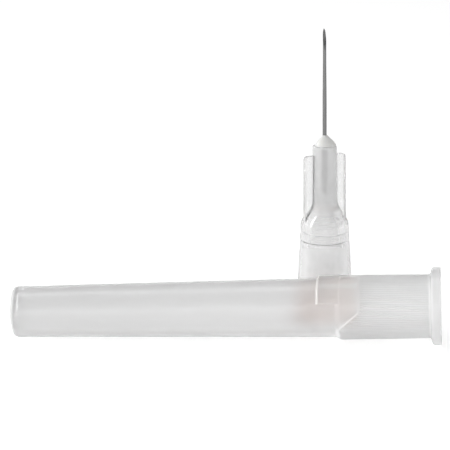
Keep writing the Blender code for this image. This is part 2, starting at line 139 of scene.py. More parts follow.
def soft_path(corners, cuts):
    """Corners joined by lines, each inner corner c turned into (1-t)^2 a + 2t(1-t) c + t^2 b.

    The points a and b lie a cut's length before and behind the corner.
    """
    corners = np.asarray(corners, float)
    cuts = np.asarray(cuts, float)[:, None]
    before, corner, after = corners[:-2], corners[1:-1], corners[2:]
    start = corner + (before - corner) / np.linalg.norm(before - corner, axis=1, keepdims=True) * cuts
    end = corner + (after - corner) / np.linalg.norm(after - corner, axis=1, keepdims=True) * cuts
    t = np.linspace(0, 1, BEND_STEPS + 1)[None, :, None]
    bends = (1 - t) ** 2 * start[:, None] + 2 * t * (1 - t) * corner[:, None] + t**2 * end[:, None]
    path = np.vstack([corners[:1], bends.reshape(-1, 2), corners[-1:]])
    moved = np.linalg.norm(np.diff(path, axis=0), axis=1) > SAME_POINT
    return path[np.r_[True, moved]]


def stations(path, longest):
    """The same path with points added so that no step is longer than the given length."""
    run = np.r_[0, np.cumsum(np.linalg.norm(np.diff(path, axis=0), axis=1))]
    steps = [np.linspace(a, b, int(np.ceil((b - a) / longest)) + 1)[:-1] for a, b in zip(run, run[1:])]
    at = np.r_[np.concatenate(steps), run[-1]]
    return np.column_stack([np.interp(at, run, path[:, k]) for k in (0, 1)])


def smooth(value):
    """Smoothstep 3v^2 - 2v^3 of a value held between 0 and 1: a ramp with no kink at either end."""
    value = np.clip(value, 0, 1)
    return value * value * (3 - 2 * value)


# %% [markdown]
# ## Where the needle stands
#
# The frame tells us where everything is. The cannula is round, so the middle of its box is the needle's
# axis, and its top is the point. The hub's box gives the height of the nose. Rings are worked out round an
# axis through the origin and moved to the needle's axis at the end.

# %% The needle's axis
cannula_low, cannula_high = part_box("cannula")
hub_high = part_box("hub")[1]
AXIS = np.array([(cannula_low.x + cannula_high.x) / 2, (cannula_low.y + cannula_high.y) / 2, 0.0])
NOSE = hub_high.z
TIP = cannula_high.z
HUB_TURN = np.radians(30.0)
print("axis in mm:", np.round(AXIS / MM, 3), "nose", round(NOSE / MM, 2), "tip", round(TIP / MM, 2))


def round_axis(radius, angle, height):
    """Cylinder coordinates to points: (radius cos angle, radius sin angle, height), moved to the axis."""
    x, y, z = np.broadcast_arrays(radius * np.cos(angle), radius * np.sin(angle), height)
    return np.stack([x, y, z], axis=-1) + AXIS


# %% [markdown]
# ## The cannula
#
# The needle is a drawn steel tube whose end was ground three times: one long slope that opens the bore, and
# two short ones beside the point that make it cut. A grinding wheel leaves a plane, and what is left of the
# tube is everything below the lowest of the three planes. That is one line of numpy: the height of the cut at
# a place is the minimum of three plane heights. No Boolean is needed, and the rim stays perfectly even.

# %% Cannula sizes
CANNULA_RADIUS = 0.232 * MM
BORE_RADIUS = 0.130 * MM
TIP_SCALE = 0.82
STRAIGHT_ABOVE_NOSE = 4.0 * MM
BEVEL_LENGTH = 2.45 * MM
LANCET_LENGTH = 0.95 * MM
LANCET_TURN = np.radians(38.0)
BEVEL_TURN = HUB_TURN + np.radians(-97.0)
POINT_STEP = 0.004 * MM
CANNULA_COLUMNS = 96
CANNULA_RINGS = 40
CANNULA_SPREAD = 0.8
FACE_STEPS = 6
CANNULA_START = cannula_low.z
TIP_RADIUS = CANNULA_RADIUS * TIP_SCALE


def ground_height(radius, angle):
    """Height of the ground end: the lowest of three planes through the point, and never above the point.

    Each plane falls by its length over the tube's width, in the direction that its wheel was turned to.
    """
    planes = []
    for length, turn in ((BEVEL_LENGTH, 0.0), (LANCET_LENGTH, LANCET_TURN), (LANCET_LENGTH, -LANCET_TURN)):
        across = radius * np.cos(angle - turn) + (TIP_RADIUS - POINT_STEP) * np.cos(turn)
        planes.append(TIP - length / (2 * TIP_RADIUS) * across)
    return np.minimum(np.minimum.reduce(planes), TIP)


def narrowing(height):
    """Share of the full radius at a height: 1 up to a little above the nose, then down to the tip's share."""
    start = NOSE + STRAIGHT_ABOVE_NOSE
    end = TIP - BEVEL_LENGTH
    return 1 + (TIP_SCALE - 1) * smooth((height - start) / (end - start))


# %% Build the cannula
def cannula_rings():
    """Rings down the outside, up the bore, then outwards over the ground face."""
    angle = np.linspace(0, 2 * np.pi, CANNULA_COLUMNS, endpoint=False)
    down = np.linspace(0, 1, CANNULA_RINGS)[:, None] ** CANNULA_SPREAD
    walls = []
    for radius, share in ((CANNULA_RADIUS, down), (BORE_RADIUS, down[::-1])):
        top = ground_height(radius * TIP_SCALE, angle)
        height = top + (CANNULA_START - top) * share
        walls.append((radius * narrowing(height), height))
    across = np.linspace(0, 1, FACE_STEPS + 1)[1:-1, None]
    face_radius = (BORE_RADIUS + (CANNULA_RADIUS - BORE_RADIUS) * across) * TIP_SCALE
    walls.append((face_radius + 0 * angle, ground_height(face_radius, angle)))
    radius = np.vstack([wall[0] for wall in walls])
    height = np.vstack([wall[1] for wall in walls])
    return round_axis(radius, angle + BEVEL_TURN, height)


cannula = grid_piece("needle_cannula", cannula_rings())

# %% [markdown]
# ## The bead of adhesive
#
# A drop of white adhesive holds the tube in the nose. It wets the rim of the hub, climbs a little way up the
# steel and sets as a cone with soft shoulders. On this needle it sagged to one side before it set. So the
# profile is a falling curve, and the middle of each ring is moved sideways by an amount that depends on its
# height. Below the rim the same piece goes on as the plug that fills the glue well.
#
# Glue wets what it holds. If a film of air were left between the white plug and the clear hub, the light
# would be turned back at it and draw a black band that the real nose doesn't have. So bonded surfaces reach
# into each other by a few thousandths of a millimetre.

# %% Adhesive sizes
WELL_RADIUS = 1.02 * MM
WELL_FLOOR_RADIUS = 0.90 * MM
WELL_DEPTH = 0.30 * MM
BOND_GAP = 0.03 * MM
WETTING = 0.004 * MM
BEAD_RADIUS = 1.21 * MM
BEAD_HEIGHT = 1.13 * MM
BEAD_COLLAR = 0.05 * MM
BEAD_SHIFT = 0.10 * MM
BEAD_WAVE = 0.012 * MM
BEAD_TURN = HUB_TURN + np.radians(-22.0)
BEAD_SHOULDER = 1.45
BEAD_DRAW = 1.25
BEAD_WAVES = 3
BEAD_WAVE_START = 0.6
BEAD_COLUMNS = 96
BEAD_RINGS = 28
BEAD_SPREAD = 1.2
PLUG_STATION = 0.15 * MM


# %% Build the adhesive
def adhesive_rings():
    """Rings from the collar down the dome, under its edge, down the plug and up the hole round the tube.

    With share h of the height, the dome's radius is top + (rim - top) (1 - h^1.45)^1.25, and its middle
    moves by shift (1 - h^2). A slight wave makes it uneven. The plug and the hole stay on the axis.
    """
    angle = np.linspace(0, 2 * np.pi, BEAD_COLUMNS, endpoint=False)
    base = NOSE - WETTING
    crest = NOSE + BOND_GAP + BEAD_HEIGHT
    hole = CANNULA_RADIUS - WETTING
    top = CANNULA_RADIUS + BOND_GAP + BEAD_COLLAR
    share = 1 - np.linspace(0, 1, BEAD_RINGS) ** BEAD_SPREAD
    dome_radius = top + (BEAD_RADIUS - top) * (1 - share**BEAD_SHOULDER) ** BEAD_DRAW
    dome_shift = BEAD_SHIFT * (1 - share**2)
    floor = NOSE - WELL_DEPTH - WETTING
    plug = [(WELL_RADIUS + WETTING, base), (WELL_FLOOR_RADIUS + WETTING, floor), (hole, floor), (hole, crest)]
    plug = stations(np.array(plug), PLUG_STATION)
    radius = np.r_[dome_radius, plug[:, 0]][:, None]
    height = np.r_[base + (crest - base) * share, plug[:, 1]][:, None]
    shift = np.r_[dome_shift, np.zeros(len(plug))][:, None]
    wave = np.r_[np.sin(np.pi * share), np.zeros(len(plug))][:, None]
    radius = radius + BEAD_WAVE * wave * np.cos(BEAD_WAVES * angle + BEAD_WAVE_START)
    points = round_axis(radius, angle + BEAD_TURN, height)
    points[..., 0] += shift * np.cos(BEAD_TURN)
    points[..., 1] += shift * np.sin(BEAD_TURN)
    return points


adhesive = grid_piece("adhesive_bead", adhesive_rings())

# %% [markdown]
# ## The hub's outside
#
# The hub is one clear moulding: a slim core, a skirt that a syringe's tip goes into, two thin grip wings and
# two lugs at the foot for a luer lock. Seen from above, every level of it is a circle with two ears. Near the
# foot the ears are the wide lugs, higher up they are the thin wings, and in between they are shorter than the
# skirt and don't show. So one section with four numbers serves the whole height: the circle's radius, and
# the ears' span, half width and corner radius. The outline is star shaped, so each point is stored as an
# angle and a radius, and the radius is the larger one of the circle's and the ear's.

# %% Sections with two ears
EAR_END_STEPS = 3
EAR_CORNER_STEPS = 5
EAR_SIDE_STEPS = 10
EAR_SIDE_SPREAD = 1.5
ARC_STEPS = 28
ARC_SPREAD = 1.4
LEAST_SIDE = 0.02 * MM
ROOT_FILLET = 0.14 * MM


def soft_maximum(a, b, width):
    """The larger of two lengths, with a curve of the given width where they are about equal.

    With h = 1/2 + (a - b) / (2 width), held between 0 and 1, it is b + (a - b) h + width h (1 - h).
    """
    h = np.clip(0.5 + (a - b) / (2 * width), 0, 1)
    return b + (a - b) * h + width * h * (1 - h)


def eared_rings(core, span, half, corner):
    """Angles and radii of rings with two ears along local X, one row for each level.

    A quarter runs up the ear's end, round its corner, back along its side to where the circle starts, and
    on along the circle to 90 degrees. Its three mirror images complete the ring. The ear's side is the line
    y = half, whose radius is half / sin(angle), and a soft maximum with the circle rounds the ear's root.
    """
    core, span, half = (np.asarray(v, float)[:, None] for v in (core, span, half))
    end = np.linspace(0, 1, EAR_END_STEPS + 1)[:-1]
    turn = np.linspace(0, np.pi / 2, EAR_CORNER_STEPS + 1)[:-1]
    side = 1 - (1 - np.linspace(0, 1, EAR_SIDE_STEPS + 1)) ** EAR_SIDE_SPREAD
    side_start = span - corner
    side_end = np.minimum(np.sqrt(np.maximum(core**2 - half**2, 0)), side_start - LEAST_SIDE)
    side_x = side_start + (side_end - side_start) * side
    x = np.hstack([span + 0 * end, side_start + corner * np.cos(turn), side_x])
    y = np.hstack([(half - corner) * end, half - corner + corner * np.sin(turn), half + 0 * side])
    ear_angle = np.arctan2(y, x)
    along = np.linspace(0, 1, ARC_STEPS + 1)[1:] ** ARC_SPREAD
    arc_angle = ear_angle[:, -1:] + (np.pi / 2 - ear_angle[:, -1:]) * along
    angle = np.hstack([ear_angle, arc_angle])
    flank = np.hstack([np.hypot(x, y), half / np.sin(arc_angle)])
    radius = soft_maximum(flank, core + 0 * flank, ROOT_FILLET)
    back = slice(None, 0, -1)
    angles = [angle[:, :-1], np.pi - angle[:, back], np.pi + angle[:, :-1], 2 * np.pi - angle[:, back]]
    radii = [radius[:, :-1], radius[:, back], radius[:, :-1], radius[:, back]]
    return np.hstack(angles), np.hstack(radii)


# %% Hub sizes
FOOT_RADIUS = 3.30 * MM
SKIRT_TOP = NOSE - 8.5 * MM
SKIRT_TOP_RADIUS = 2.65 * MM
CORE_FOOT = NOSE - 6.9 * MM
CORE_FOOT_RISE = 0.17 * MM
CORE_FOOT_ROUND = 0.60 * MM
CORE_SWELL = CORE_FOOT + 2.6 * MM
CORE_RADIUS = 1.42 * MM
NOSE_RADIUS = 1.37 * MM
EDGE_ROUND = 0.12 * MM
SHOULDER_ROUND = 0.36 * MM

WING_TOP = NOSE - 1.05 * MM
WING_FOOT = SKIRT_TOP - EDGE_ROUND
WING_SPAN_TOP = 2.50 * MM
WING_SPAN_FOOT = 2.537 * MM
WING_HALF = 0.31 * MM
WING_CORNER = 0.42 * MM
EAR_EDGE = 0.07 * MM

LUG_SPAN = 3.90 * MM
LUG_HALF = 1.35 * MM
LUG_THICKNESS = 0.90 * MM
LUG_TOP = 1.35 * MM
LUG_ROOT = 2.42 * MM
LEDGE = 0.0005 * MM

# %% [markdown]
# The core's radius, the ears' span and their half width all depend on the height, each by a short path
# that is read with `np.interp`. A wing's flat top is two rings at almost one height: the upper one
# without the ear, the lower one with it. Where the ears don't show, the columns glide from the angles of the
# wings to those of the lugs, so the grid stays even.

# %% The hub's outside
SOCKET_MOUTH_RADIUS = 2.15 * MM
SOCKET_TAPER = 0.06
SOCKET_LEAD_IN = 0.15 * MM
OUTSIDE_STATION = 0.3 * MM


def socket_radius(height):
    """The luer socket loses six per cent of the height in width: mouth radius - 0.03 height."""
    return SOCKET_MOUTH_RADIUS - SOCKET_TAPER / 2 * height


MOUTH_RIM = socket_radius(SOCKET_LEAD_IN) + SOCKET_LEAD_IN


def core_path():
    """Core and skirt as (radius, height), from the nose's edge down to the foot's edge."""
    corners = [
        (WELL_RADIUS, NOSE),
        (NOSE_RADIUS, NOSE),
        (CORE_RADIUS, CORE_SWELL),
        (CORE_RADIUS, CORE_FOOT + CORE_FOOT_RISE),
        (SKIRT_TOP_RADIUS, SKIRT_TOP),
        (FOOT_RADIUS, 0.0),
        (MOUTH_RIM, 0.0),
    ]
    cuts = [EDGE_ROUND, EDGE_ROUND, CORE_FOOT_ROUND, SHOULDER_ROUND, EDGE_ROUND]
    return stations(soft_path(corners, cuts)[1:-1], OUTSIDE_STATION)


def ear_paths():
    """Span and half width of wings and lugs as (value, height) paths that run downwards."""
    wing_span = soft_path(
        [(WING_SPAN_TOP - WING_CORNER, WING_TOP), (WING_SPAN_TOP, WING_TOP), (WING_SPAN_FOOT, WING_FOOT)],
        [WING_CORNER],
    )
    lug_span = soft_path(
        [(LUG_ROOT, LUG_TOP), (LUG_SPAN, LUG_THICKNESS), (LUG_SPAN, 0.0), (LUG_ROOT, 0.0)],
        [EDGE_ROUND, EDGE_ROUND],
    )[:-1]
    wing_half = soft_path(
        [(WING_HALF - EAR_EDGE, WING_TOP), (WING_HALF, WING_TOP), (WING_HALF, WING_FOOT)], [EAR_EDGE]
    )
    lug_half = np.array([(LUG_HALF, LUG_TOP), (LUG_HALF, EAR_EDGE), (LUG_HALF - EAR_EDGE / 2, 0.0)])
    return np.vstack([wing_span, lug_span]), np.vstack([wing_half, lug_half])


def read_down(path, height):
    """Value of a (value, height) path that runs downwards, at each height."""
    return np.interp(-height, -path[:, 1], path[:, 0])


def hub_outside():
    """Angles, radii and heights of the hub's outside, from the nose's edge to the foot's edge."""
    core_line = core_path()
    span_line, half_line = ear_paths()
    level = np.unique(np.r_[core_line[:, 1], span_line[:, 1], half_line[:, 1]])
    level = level[np.r_[True, np.diff(level) > LEDGE]]
    level = np.sort(np.r_[level, WING_TOP + LEDGE])[::-1]
    core = read_down(core_line, level)
    span = read_down(span_line, level)
    angle, radius = eared_rings(core, span, read_down(half_line, level), EAR_EDGE)
    shown = ((level <= WING_TOP) & (level >= WING_FOOT)) | (level <= LUG_TOP)
    shown &= span > core
    radius = np.where(shown[:, None], radius, core[:, None])
    shown_level = level[shown][::-1]
    shown_angle = angle[shown][::-1]
    place = np.interp(level, shown_level, np.arange(len(shown_level)))
    lower = np.floor(place).astype(int)
    upper = np.minimum(lower + 1, len(shown_level) - 1)
    part = (place - lower)[:, None]
    return shown_angle[lower] * (1 - part) + shown_angle[upper] * part, radius, level


outer_angle, outer_radius, outer_level = hub_outside()
print("hub outside:", outer_radius.shape, "rings by columns, reach", round(outer_radius.max() / MM, 3), "mm")

# %% [markdown]
# ## The hub's inside
#
# What makes a clear part look real is what you see through it. The luer socket ends at two small steps, a
# funnel leads into the passage, and the steel tube ends in the passage. All of it is one more profile, from
# the foot's mouth up to the rim of the glue well, and its last ring closes onto the first ring outside.

# %% Build the hub
SOCKET_DEPTH = 9.5 * MM
FIRST_STEP = 0.16 * MM
SECOND_STEP = 0.34 * MM
STEP_LENGTH = 0.95 * MM
STEP_EDGE = 0.06 * MM
FUNNEL_LENGTH = 1.15 * MM
PASSAGE_RADIUS = 0.62 * MM
PASSAGE_LENGTH = 3.6 * MM
CANNULA_HOLE = CANNULA_RADIUS - WETTING
SOCKET_BEND = 0.05 * MM
INSIDE_STATION = 0.12 * MM


def hub_inner_path():
    """Socket, steps, funnel, passage, hole and well as (radius, height), from the mouth to the well's rim."""
    socket_end = socket_radius(SOCKET_DEPTH)
    first, second = socket_end - FIRST_STEP, socket_end - SECOND_STEP
    first_end = SOCKET_DEPTH + STEP_LENGTH
    second_end = first_end + STEP_LENGTH
    passage_start = second_end + FUNNEL_LENGTH
    passage_end = passage_start + PASSAGE_LENGTH
    corners = [
        (MOUTH_RIM, 0.0),
        (socket_radius(SOCKET_LEAD_IN), SOCKET_LEAD_IN),
        (socket_end, SOCKET_DEPTH),
        (first, SOCKET_DEPTH + STEP_EDGE),
        (first, first_end),
        (second, first_end + STEP_EDGE),
        (second, second_end),
        (PASSAGE_RADIUS, passage_start),
        (PASSAGE_RADIUS, passage_end),
        (CANNULA_HOLE, passage_end + STEP_EDGE),
        (CANNULA_HOLE, NOSE - WELL_DEPTH),
        (WELL_FLOOR_RADIUS, NOSE - WELL_DEPTH),
        (WELL_RADIUS, NOSE),
    ]
    cuts = np.full(len(corners) - 2, SOCKET_BEND)
    return stations(soft_path(corners, cuts), INSIDE_STATION)


def hub_rings():
    """All rings of the hub: outside downwards, then inside upwards, as points round the needle's axis."""
    inner = hub_inner_path()
    share = np.linspace(0, 1, len(inner))[:, None]
    inner_angle = outer_angle[-1] + (outer_angle[0] - outer_angle[-1]) * share
    angle = np.vstack([outer_angle, inner_angle])
    radius = np.vstack([outer_radius, inner[:, :1] + 0 * inner_angle])
    height = np.r_[outer_level, inner[:, 1]][:, None]
    return round_axis(radius, angle + HUB_TURN, height), radius, height + 0 * radius


hub_points, hub_radius, hub_height = hub_rings()
hub = grid_piece("clear_hub", hub_points)

# %% [markdown]
# Polypropylene is a little milky, so more light is lost the deeper the plastic is: the solid core is hazy
# and grey, the skirt's walls are paler and the thin wings are nearly white. A surface shader knows nothing
# about depth, so each point of the outside gets a clearness, which sets how much of the light goes straight
# through, and a tint. The wings' end faces get painted light: a white tint and less clearness, which lighten
# their dark outlines. The wall of the bore is left clear, because the outside already stands for the whole
# depth. Three smaller things go into the tint: painted shade draws a dark ring at each step at the end of the
# socket, painted light makes the nose's rim a little paler against the bead's shade, and the foot is a little
# warm.

# %% How clear the plastic is
CORE_CLEARNESS = 0.34
SKIRT_CLEARNESS = 0.79
FOOT_CLEARNESS = 0.71
FOOT_TINT = 1.0
FOOT_FROM = SOCKET_DEPTH + 0.24 * MM
FOOT_BLEND = 0.6 * MM
BORE_CLEARNESS = 0.93
WING_CLEARNESS = 0.81
CORE_TINT = 0.89
SKIRT_TINT = 0.93
BORE_TINT = 1.0
WING_TINT = 0.985
LIGHTENED_END_CLEARNESS = 0.50
END_FACE = 0.06 * MM
WING_ROOT = 0.02 * MM
WING_BLEND = 0.12 * MM
SKIRT_BLEND = 1.1 * MM
NOSE_RIM_PAINTED_LIGHT = 0.99
WARM_TINT = np.array([1.04, 0.895, 0.86])
WARM_TOP = 5.2 * MM
WARM_BLEND = 0.9 * MM
STEP_SHADE = 0.12
STEP_REACH = 0.08 * MM

in_bore = (np.arange(len(hub_height)) >= len(outer_level))[:, None]


def by_place(core_value, skirt_value, wing_value, radius, height):
    """One value in the core, one in the skirt and one in the wings, with smoothsteps in between.

    The first step runs down the shoulder. The second runs outwards from the root of the wings.
    """
    beyond_core = radius - read_down(core_path(), height) - WING_ROOT
    in_skirt = smooth((CORE_FOOT - height) / SKIRT_BLEND)
    in_wing = smooth(beyond_core / WING_BLEND) * (height > WING_FOOT)
    value = core_value + (skirt_value - core_value) * in_skirt
    return value + (wing_value - value) * in_wing


def lightened_wing_ends(radius, height):
    """1 on the end faces of the wings, which get painted light, and 0 elsewhere."""
    span = read_down(ear_paths()[0], height)
    at_end = smooth((radius - span) / END_FACE + 2)
    beyond_core = smooth((span - read_down(core_path(), height)) / END_FACE - 1)
    return at_end * beyond_core * (height > WING_FOOT)


def below_steps(height):
    """0 down to where the socket's bore steps in, and a smoothstep to 1 below."""
    return smooth((FOOT_FROM - height) / FOOT_BLEND)


def step_rings(height):
    """1 where the socket's bore steps in, and 0 elsewhere on it."""
    steps = SOCKET_DEPTH + STEP_LENGTH * np.arange(3)
    nearest = np.abs(height[..., None] - steps).min(axis=-1)
    return smooth(1.5 - nearest / STEP_REACH)


def plastic_tint(radius, height):
    """Grey by place, painted shade at the bore's steps, painted light on wing ends and nose rim, warm foot."""
    skirt_tint = SKIRT_TINT + (FOOT_TINT - SKIRT_TINT) * below_steps(height)
    grey = by_place(CORE_TINT, skirt_tint, WING_TINT, radius, height)
    grey = np.where(in_bore, BORE_TINT * (1 - STEP_SHADE * step_rings(height)), grey)
    # Painted light: the wing ends are tinted white to lighten their dark outlines.
    grey = grey + (1 - grey) * lightened_wing_ends(radius, height)
    # Painted light: the nose's rim is made paler against the shade that the bead casts on it.
    grey = np.where(height > NOSE - EDGE_ROUND, NOSE_RIM_PAINTED_LIGHT, grey)
    warmth = smooth((WARM_TOP - height) / WARM_BLEND)[..., None]
    return np.minimum(grey[..., None] * (1 + (WARM_TINT - 1) * warmth), 1.0)


skirt_clearness = SKIRT_CLEARNESS + (FOOT_CLEARNESS - SKIRT_CLEARNESS) * below_steps(hub_height)
clearness = by_place(CORE_CLEARNESS, skirt_clearness, WING_CLEARNESS, hub_radius, hub_height)
# Painted light: the wing ends are made less clear, so that they render pale.
clearness = clearness + (LIGHTENED_END_CLEARNESS - clearness) * lightened_wing_ends(hub_radius, hub_height)
clearness = np.where(in_bore, BORE_CLEARNESS, clearness)
store_pattern(hub, "clearness", clearness)
store_tint(hub, "tint", plastic_tint(hub_radius, hub_height))
print("clearness from", round(float(clearness.min()), 2), "to", round(float(clearness.max()), 2))

# %% [markdown]
# ## The sheath
#
# The sheath is one thin moulding, 47 mm long. From its closed end it widens a little towards a half collar,
# which is raised on one half of the wall only, then comes the ribbed grip, the flange and the mouth. It lies
# on its side, on the back edge of the flange and on the round of its closed end, so it leans by a small
# angle that follows from those two radii.
#
# Here the radius depends on both parameters: on the distance from the mouth by the profile, and on the
# angle by the half collar, the land and the ribs. Each of the 88 ribs gets six columns. The land is the
# smooth pad between the collar and the ribs. Lower down its edge runs off at a slant, and the ribs follow it.

# %% Sheath sizes
SHEATH_LENGTH = 47.0 * MM
CLOSED_END_RADIUS = 2.80 * MM
CLOSED_END_ROUND = 0.50 * MM
CLOSED_END_WALL = 0.62 * MM
TUBE_RADIUS = 3.23 * MM
TUBE_WALL = 0.44 * MM
COLLAR_AT = 13.4 * MM
COLLAR_SLOPE = 0.18 * MM
COLLAR_FROM = np.radians(-69.3)
COLLAR_TO = np.radians(110.7)
COLLAR_END_WIDTH = np.radians(1.4)
GRIP_AT = 11.0 * MM
GRIP_SLOPE = 0.38 * MM
GRIP_RADIUS = 3.50 * MM
GRIP_MOUTH_RADIUS = 3.43 * MM
RIB_COUNT = 88
RIB_COLUMNS = 6
RIB_HEIGHT = 0.034 * MM
RIB_FULLNESS = 0.75
RIB_FADE = 0.35 * MM
LAND_AT = 8.78 * MM
LAND_HEIGHT = 0.045 * MM
LAND_EDGE = 0.14 * MM
LAND_MIDDLE = np.radians(20.7)
LAND_SLANT_FROM = np.radians(106.0)
LAND_SLANT_TO = np.radians(141.0)
FLANGE_RADIUS = 4.225 * MM
FLANGE_THICKNESS = 0.95 * MM
FLANGE_BACK_SLOPE = 0.22 * MM
FLANGE_FILLET = 0.30 * MM
RIB_FOOT = FLANGE_THICKNESS + FLANGE_BACK_SLOPE
MOUTH_RADIUS = 3.145 * MM
GRIP_BORE_DRAFT = 0.06 * MM
BORE_STEP_ONE = 0.22 * MM
BORE_STEP_TWO = 0.09 * MM
MOUTH_LEAD_IN = 0.16 * MM
BORE_END_ROUND = 0.35 * MM
COLLAR_RINGS = 16
WALL_STATION = 1.6 * MM
BORE_STATION = 3.2 * MM


def tube_radius(along):
    """Radius of the slim tube: a straight line from the collar to the closed end."""
    share = (along - COLLAR_AT) / (SHEATH_LENGTH - COLLAR_AT)
    return TUBE_RADIUS + (CLOSED_END_RADIUS - TUBE_RADIUS) * share


def grip_radius(along):
    """Radius of the grip between its ribs: a straight line from the flange to the collar."""
    share = (along - FLANGE_THICKNESS) / (COLLAR_AT - FLANGE_THICKNESS)
    return GRIP_MOUTH_RADIUS + (GRIP_RADIUS - GRIP_MOUTH_RADIUS) * share


def with_stretch(path, stretch, space):
    """The path with a finer stretch of rings in place of its own, with a space before and behind it."""
    before = path[path[:, 1] > stretch[0, 1] + space]
    after = path[path[:, 1] < stretch[-1, 1] - space]
    return np.vstack([before, stretch, after])


def sheath_outside():
    """Outside as (radius, distance from the mouth), from the closed end's middle to the flange's front."""
    corners = [
        (0.0, SHEATH_LENGTH),
        (CLOSED_END_RADIUS, SHEATH_LENGTH),
        (tube_radius(GRIP_AT + GRIP_SLOPE), GRIP_AT + GRIP_SLOPE),
        (grip_radius(GRIP_AT), GRIP_AT),
        (grip_radius(FLANGE_THICKNESS), RIB_FOOT),
        (FLANGE_RADIUS, FLANGE_THICKNESS),
        (FLANGE_RADIUS, 0.0),
        (MOUTH_RADIUS + MOUTH_LEAD_IN, 0.0),
    ]
    cuts = [CLOSED_END_ROUND, EDGE_ROUND, EDGE_ROUND, FLANGE_FILLET, 2 * EDGE_ROUND, EDGE_ROUND]
    path = stations(soft_path(corners, cuts), WALL_STATION)[1:]
    collar = np.linspace(COLLAR_AT + EDGE_ROUND, COLLAR_AT - COLLAR_SLOPE - EDGE_ROUND, COLLAR_RINGS)
    path = with_stretch(path, np.column_stack([tube_radius(collar), collar]), EDGE_ROUND)
    fine = np.arange(GRIP_AT - 2 * EDGE_ROUND, LAND_AT - 2 * RIB_FADE, -LAND_EDGE / 2)
    return with_stretch(path, np.column_stack([grip_radius(fine), fine]), EDGE_ROUND / 2)


def sheath_inside():
    """Bore as (radius, distance from the mouth): lead-in, socket, two steps, slim bore, rounded end."""
    socket_end = MOUTH_RADIUS - GRIP_BORE_DRAFT
    slim_start = tube_radius(COLLAR_AT) - TUBE_WALL
    corners = [
        (MOUTH_RADIUS + MOUTH_LEAD_IN, 0.0),
        (MOUTH_RADIUS, MOUTH_LEAD_IN),
        (socket_end, GRIP_AT - GRIP_SLOPE / 2),
        (socket_end - BORE_STEP_ONE, GRIP_AT + GRIP_SLOPE / 2),
        (slim_start + BORE_STEP_TWO, COLLAR_AT),
        (slim_start, COLLAR_AT + COLLAR_SLOPE),
        (tube_radius(SHEATH_LENGTH) - TUBE_WALL, SHEATH_LENGTH - CLOSED_END_WALL),
        (0.0, SHEATH_LENGTH - CLOSED_END_WALL),
    ]
    cuts = [EDGE_ROUND, EDGE_ROUND, EDGE_ROUND, EDGE_ROUND / 2, EDGE_ROUND / 2, BORE_END_ROUND]
    return stations(soft_path(corners, cuts), BORE_STATION)[:-1]


# %% [markdown]
# ## Lying on its side
#
# The sheath's rings are worked out round its own axis. Three unit vectors then carry them into place: along
# the axis from the mouth to the closed end, across it upwards, and across it to the back. The lean comes from
# the two points it rests on, and the frame's box says where its ends and its middle are.

# %% The sheath's axis
sheath_low, sheath_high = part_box("sheath")
outside = sheath_outside()
inside = sheath_inside()
round_start = SHEATH_LENGTH - CLOSED_END_ROUND
LEAN = np.arctan2(FLANGE_RADIUS - tube_radius(round_start), round_start - FLANGE_THICKNESS)
TO_END = np.array([-np.cos(LEAN), 0.0, -np.sin(LEAN)])
TO_TOP = np.array([-np.sin(LEAN), 0.0, np.cos(LEAN)])
TO_BACK = np.array([0.0, 1.0, 0.0])
front_reach = (outside[:, 0] * np.sin(LEAN) - outside[:, 1] * np.cos(LEAN)).max()
depth = (outside[:, 0] * np.cos(LEAN) + outside[:, 1] * np.sin(LEAN)).max()
MOUTH = np.array([sheath_high.x - front_reach, (sheath_low.y + sheath_high.y) / 2, depth])
print("sheath leans by", round(float(np.degrees(LEAN)), 3), "degrees, mouth in mm:", np.round(MOUTH / MM, 3))


def wrapped(angle):
    """The same angle between minus half a turn and half a turn."""
    return (angle + np.pi) % (2 * np.pi) - np.pi


def round_sheath(radius, angle, along):
    """Mouth + along * to end + radius (cos angle * to top + sin angle * to back)."""
    across = np.cos(angle)[..., None] * TO_TOP + np.sin(angle)[..., None] * TO_BACK
    radius, along = np.broadcast_arrays(radius, along + 0 * angle)
    return MOUTH + along[..., None] * TO_END + radius[..., None] * across


# %% Build the sheath
def half_collar(radius, along, angle):
    """How far the half collar lifts the wall: to the grip's radius, between two angles and two stations."""
    turn = wrapped(angle)
    share = smooth((turn - COLLAR_FROM) / COLLAR_END_WIDTH) * smooth((COLLAR_TO - turn) / COLLAR_END_WIDTH)
    rise = smooth((COLLAR_AT - along) / COLLAR_SLOPE)
    lift = np.maximum(grip_radius(along) - radius, 0) * rise
    return lift * share * (along > FLANGE_THICKNESS + FLANGE_FILLET)


def land_edge(angle):
    """Distance from the mouth at which the land ends: steady over the top, then a slant to the grip's end."""
    turn = np.abs(wrapped(angle - LAND_MIDDLE))
    slant = (turn - LAND_SLANT_FROM) / (LAND_SLANT_TO - LAND_SLANT_FROM)
    return LAND_AT + (GRIP_AT + LAND_EDGE - LAND_AT) * np.clip(slant, 0, 1)


def land(along, angle):
    """Height of the land: a smoothstep up at its edge, and down again where the grip ends."""
    rise = smooth((along - land_edge(angle)) / LAND_EDGE)
    return LAND_HEIGHT * rise * smooth((GRIP_AT - along) / LAND_EDGE)


def ribs(along, angle):
    """Height of the ribs: a soft-topped wave round the grip that fades out at the flange and the land."""
    wave = smooth(0.5 + RIB_FULLNESS * np.cos(RIB_COUNT * angle))
    fade = smooth((land_edge(angle) - along) / RIB_FADE) * smooth((along - RIB_FOOT) / RIB_FADE)
    return RIB_HEIGHT * wave * fade


def sheath_rings():
    """All rings of the sheath, outside from the closed end to the mouth and then the bore back to its end.

    Returned beside them are the columns' angles, and the height of the ribs as a share of their full height.
    """
    angle = np.linspace(0, 2 * np.pi, RIB_COUNT * RIB_COLUMNS, endpoint=False)[None, :]
    radius, along = outside[:, :1], outside[:, 1:]
    rib = ribs(along, angle)
    outer = radius + half_collar(radius, along, angle) + land(along, angle) + rib
    outer_rings = round_sheath(outer, angle + 0 * along, along)
    inner_rings = round_sheath(inside[:, :1], angle + 0 * inside[:, 1:], inside[:, 1:])
    return np.vstack([outer_rings, inner_rings]), angle, rib / RIB_HEIGHT


